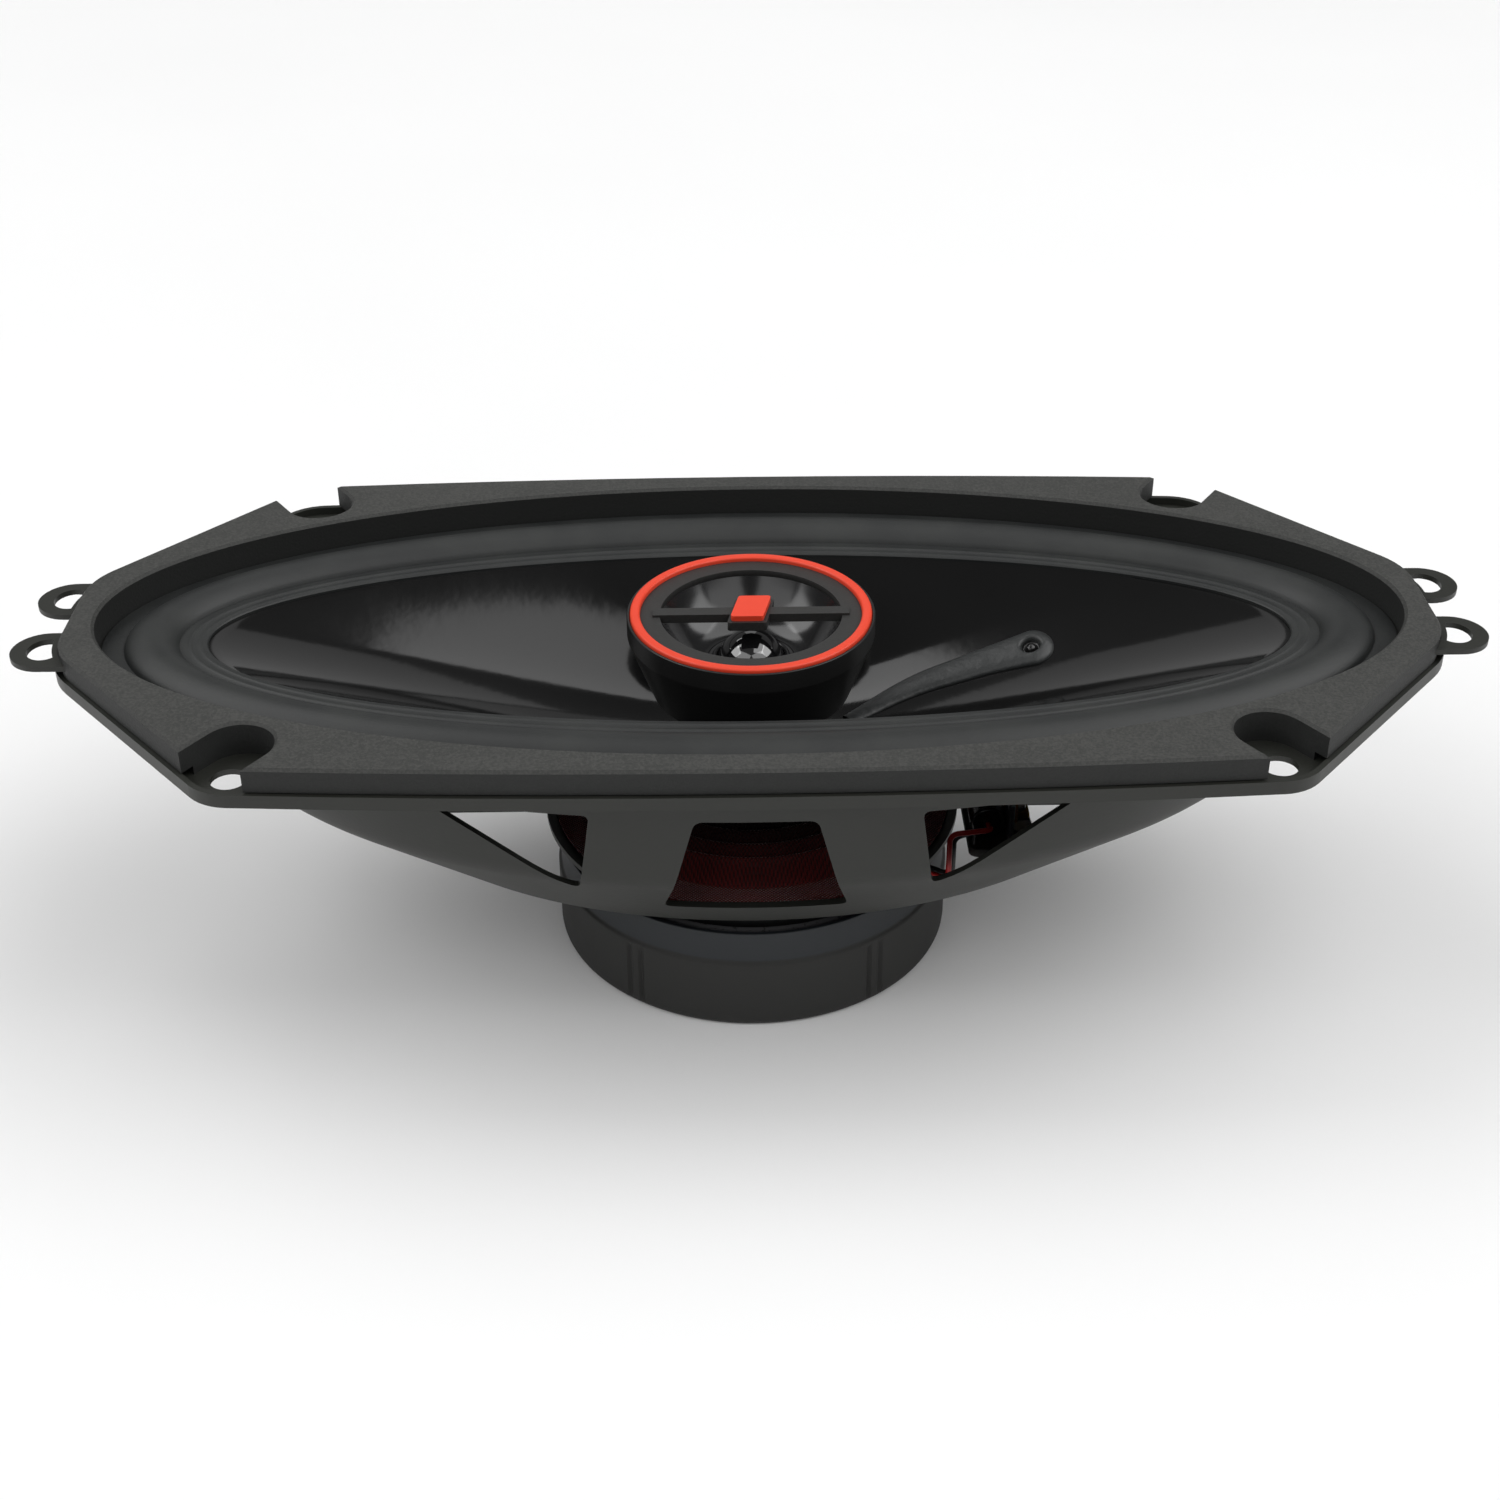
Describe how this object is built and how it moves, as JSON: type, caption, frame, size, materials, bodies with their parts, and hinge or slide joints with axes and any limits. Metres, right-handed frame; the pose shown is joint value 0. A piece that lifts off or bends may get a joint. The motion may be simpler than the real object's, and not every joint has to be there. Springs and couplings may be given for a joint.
{
  "type": "coaxial car speaker",
  "caption": "Oval coaxial car speaker with a pressed steel basket, moulded gasket, gloss black cone and ring-trimmed tweeter on a post",
  "frame": {"origin": "on the speaker's axis at the underside of the mounting flange, at the middle of the four corner screw holes", "axes": "+X along the longest side, +Z out of the front towards the listener"},
  "size_m": [0.2572, 0.1086, 0.0656],
  "materials": {
    "basket_steel": "satin black powder coat on pressed steel",
    "gasket_polymer": "fine-grained matte moulding",
    "surround_rubber": "satin butyl rubber",
    "cone_polymer": "polished black polypropylene",
    "lead_adhesive": "cured black adhesive",
    "plated_brass": "plain brass",
    "coil_former": "amber polyimide film",
    "copper_wire": "enamelled copper",
    "spider_cloth": "resin-stiffened red cotton",
    "rivet_steel": "zinc-plated steel",
    "motor_steel": "black-passivated steel",
    "ferrite": "ground strontium ferrite",
    "boot_rubber": "matte moulded rubber",
    "tweeter_plastic": "satin moulded ABS",
    "accent_polymer": "orange-red moulding",
    "face_plastic": "matte textured moulding",
    "tweeter_gloss": "polished black moulding",
    "board_fibre": "black fibre board",
    "capacitor_sleeve": "black shrink sleeve",
    "red_insulation": "red PVC insulation",
    "black_insulation": "black PVC insulation",
    "tinsel_braid": "tinned copper braid"
  },
  "bodies": {
    "frame": {"basket_flange": "basket_steel", "basket_upper_wall": "basket_steel", "basket_lower_wall": "basket_steel", "basket_floor": "basket_steel", "mounting_gasket": "gasket_polymer", "frame_rivets": "rivet_steel", "top_plate": "motor_steel", "ferrite_magnet": "ferrite", "back_plate_pole": "motor_steel", "magnet_boot": "boot_rubber", "tweeter_housing": "tweeter_plastic", "accent_ring": "accent_polymer", "tweeter_faceplate": "face_plastic", "badge": "accent_polymer", "tweeter_waveguide": "tweeter_gloss", "tweeter_cup": "motor_steel", "tweeter_magnet": "rivet_steel", "tweeter_pole_piece": "motor_steel", "tweeter_dome_edge": "tweeter_gloss", "tweeter_post": "rivet_steel", "tweeter_post_nut": "plated_brass", "terminal_board": "board_fibre", "terminal_rivets": "rivet_steel", "crossover_capacitor": "capacitor_sleeve", "tweeter_wire_red": "red_insulation", "tweeter_wire_black": "black_insulation", "tinsel_lead_positive": "tinsel_braid", "tinsel_lead_negative": "tinsel_braid", "terminal_positive": "rivet_steel", "terminal_negative": "plated_brass", "surround": "surround_rubber", "spider": "spider_cloth"},
    "cone": {"cone": "cone_polymer", "cone_lead_bead": "lead_adhesive", "cone_eyelet": "plated_brass", "voice_coil_former": "coil_former", "voice_coil_winding": "copper_wire"},
    "tweeter_diaphragm": {"tweeter_dome": "tweeter_gloss", "tweeter_voice_coil": "copper_wire"}
  },
  "joints": [
    {"name": "cone_travel", "type": "slide", "parent": "frame", "child": "cone", "axis": [0, 0, 1], "range_m": [-0.0035, 0.0035], "stiffness_N_per_m": 2200, "deforming": ["surround", "spider", "tinsel_lead_positive", "tinsel_lead_negative"]},
    {"name": "dome_travel", "type": "slide", "parent": "frame", "child": "tweeter_diaphragm", "axis": [0, 0, 1], "range_m": [-0.0003, 0.0003], "stiffness_N_per_m": 1500, "deforming": ["tweeter_dome_edge"]}
  ]
}
